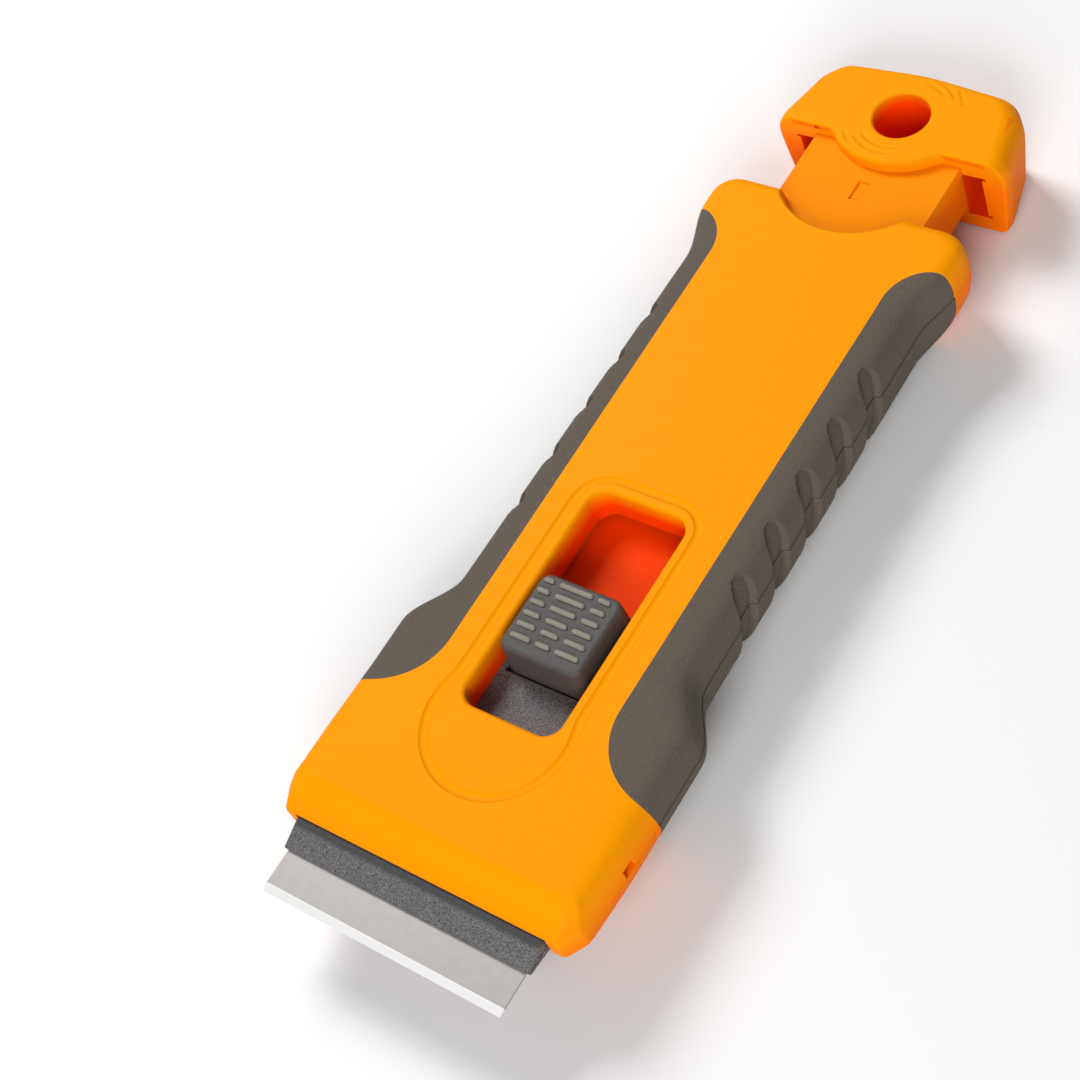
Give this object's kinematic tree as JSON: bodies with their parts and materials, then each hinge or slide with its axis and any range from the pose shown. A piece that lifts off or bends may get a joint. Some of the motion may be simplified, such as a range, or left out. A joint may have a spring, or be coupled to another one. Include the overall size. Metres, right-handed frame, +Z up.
{
  "type": "ceramic hob scraper",
  "caption": "Flat hand scraper with a thumb slider that retracts its wide blade, side grips, and a spare blade magazine with a hanging hole that pulls out of the tail.",
  "frame": {"origin": "middle of the handle's flat underside, halfway between nose and tail", "axes": "+Y towards the tail and the hanging hole, +Z up through the thumb side, +X to the right seen from above with the tail away"},
  "size_m": [0.0498, 0.1551, 0.0176],
  "materials": {
    "orange_shell": "satin moulded plastic",
    "grip_rubber": "matte soft grip",
    "jaw_grey": "speckled dark grey, satin",
    "button_rubber": "matte rubber with ribs",
    "blade_steel": "ground steel",
    "fastener_steel": "zinc plated",
    "inner_plastic": "moulded"
  },
  "bodies": {
    "handle": {"upper_shell": "orange_shell", "lower_shell": "orange_shell", "upper_grip_left": "grip_rubber", "upper_grip_right": "grip_rubber", "lower_grip_left": "grip_rubber", "lower_grip_right": "grip_rubber", "shell_screws": "fastener_steel"},
    "carriage": {"blade_carriage": "jaw_grey", "lower_jaw": "jaw_grey", "jaw_screws": "fastener_steel", "scraper_blade": "blade_steel", "button_spring": "fastener_steel"},
    "button": {"thumb_button": "button_rubber", "button_core": "inner_plastic"},
    "magazine": {"magazine_box": "orange_shell", "magazine_lid": "orange_shell", "end_cap": "orange_shell", "gate_pin": "fastener_steel", "spare_blade_1": "blade_steel", "spare_blade_2": "blade_steel", "spare_blade_3": "blade_steel", "spare_blade_4": "blade_steel", "spare_blade_5": "blade_steel"},
    "gate": {"gate": "orange_shell"}
  },
  "joints": [
    {"name": "carriage_slide", "type": "slide", "parent": "handle", "child": "carriage", "axis": [0, 1, 0], "range_m": [-0.008, 0.012]},
    {"name": "button_press", "type": "slide", "parent": "carriage", "child": "button", "axis": [0, 0, -1], "range_m": [0, 0.0009], "stiffness_N_per_m": 900, "deforming": ["button_spring"]},
    {"name": "magazine_slide", "type": "slide", "parent": "handle", "child": "magazine", "axis": [0, 1, 0], "range_m": [-0.0126, 0.042]},
    {"name": "gate_hinge", "type": "hinge", "parent": "magazine", "child": "gate", "pos_m": [0.0107, 0.02725, 0.0087], "axis": [0, 0, 1], "range_deg": [0, 20]}
  ]
}
